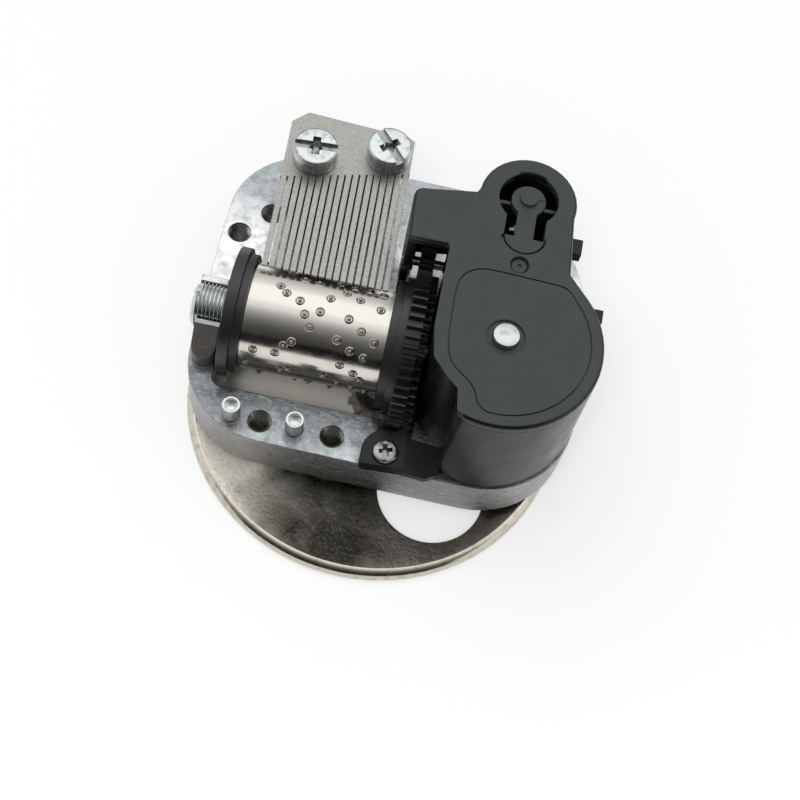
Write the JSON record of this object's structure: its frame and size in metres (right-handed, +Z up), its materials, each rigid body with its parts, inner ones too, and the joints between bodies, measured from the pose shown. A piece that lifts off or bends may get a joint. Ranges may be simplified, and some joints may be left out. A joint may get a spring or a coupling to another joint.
{
  "type": "wind-up music box movement",
  "caption": "Musical movement with a pinned drum, a steel comb and a sprung governor housing on a cast bedplate, wound by turning the round metal disc below it.",
  "frame": {"origin": "centre of the turning disc's underside, on the disc's turning axis", "axes": "+X along the drum's axis towards the spring housing, +Y from the drum towards the comb's root, +Z up along the disc's axis"},
  "size_m": [0.0507, 0.0554, 0.0282],
  "materials": {
    "zinc_casting": "mottled bright zinc die casting",
    "zinc_plated_screw": "bright bluish zinc plate",
    "comb_steel": "satin ground spring steel",
    "housing_black": "satin moulded black plastic",
    "lid_black": "fine matte grained charcoal plastic",
    "brass": "turned brass",
    "drum_nickel": "polished warm nickel plate",
    "gear_black": "black acetal, low gloss",
    "bright_steel": "turned bright steel",
    "spring_steel": "rolled spring steel, oiled",
    "disc_nickel": "grainy satin nickel plate",
    "hub_steel": "turned steel"
  },
  "bodies": {
    "movement": {"bedplate": "zinc_casting", "axle_screw": "zinc_plated_screw", "comb": "comb_steel", "comb_screws": "zinc_plated_screw", "spring_housing": "housing_black", "housing_lid": "lid_black", "foot_screw": "zinc_plated_screw", "lid_screw": "lid_black", "drum_bearing": "brass", "governor_bracket": "bright_steel", "fan_bearing": "brass", "click": "bright_steel", "click_screw": "zinc_plated_screw"},
    "drum": {"drum_sleeve": "drum_nickel", "drum_left_cap": "gear_black", "drum_gear": "gear_black", "drum_axle": "bright_steel"},
    "barrel": {"spring_barrel": "spring_steel", "barrel_cover": "spring_steel", "drive_wheel": "bright_steel", "mainspring": "spring_steel"},
    "arbor": {"winding_arbor": "bright_steel", "arbor_gear": "bright_steel", "ratchet_wheel": "bright_steel", "arbor_clip": "bright_steel"},
    "governor": {"governor_arbor": "bright_steel", "governor_pinion": "gear_black", "worm_wheel": "brass"},
    "fan": {"worm_shaft": "bright_steel", "air_brake": "gear_black"},
    "disc": {"winding_disc": "disc_nickel", "disc_hub": "hub_steel", "hub_pinion": "hub_steel", "hub_clip": "bright_steel"}
  },
  "joints": [
    {"name": "disc_winding", "type": "hinge", "parent": "movement", "child": "disc", "pos_m": [0, 0, 0], "axis": [0, 0, 1], "range_deg": [0, 2970]},
    {"name": "arbor_winding", "type": "hinge", "parent": "movement", "child": "arbor", "pos_m": [0.01353, -0.00143, 0], "axis": [0, 0, 1], "range_deg": [-990, 0]},
    {"name": "drum_turning", "type": "hinge", "parent": "movement", "child": "drum", "pos_m": [0, 0.00188, 0.01395], "axis": [1, 0, 0], "continuous": true},
    {"name": "barrel_turning", "type": "hinge", "parent": "movement", "child": "barrel", "pos_m": [0.01353, -0.00143, 0], "axis": [0, 0, 1], "continuous": true},
    {"name": "governor_turning", "type": "hinge", "parent": "movement", "child": "governor", "pos_m": [0, 0.0125, 0.01782], "axis": [1, 0, 0], "continuous": true},
    {"name": "fan_turning", "type": "hinge", "parent": "movement", "child": "fan", "pos_m": [0.01353, 0.0186, 0], "axis": [0, 0, 1], "continuous": true}
  ],
  "couplings": [
    {"joint": "arbor_winding", "follows": "disc_winding", "ratio": -0.33333},
    {"joint": "barrel_turning", "follows": "drum_turning", "ratio": -1},
    {"joint": "governor_turning", "follows": "drum_turning", "ratio": -6},
    {"joint": "fan_turning", "follows": "drum_turning", "ratio": 72}
  ]
}
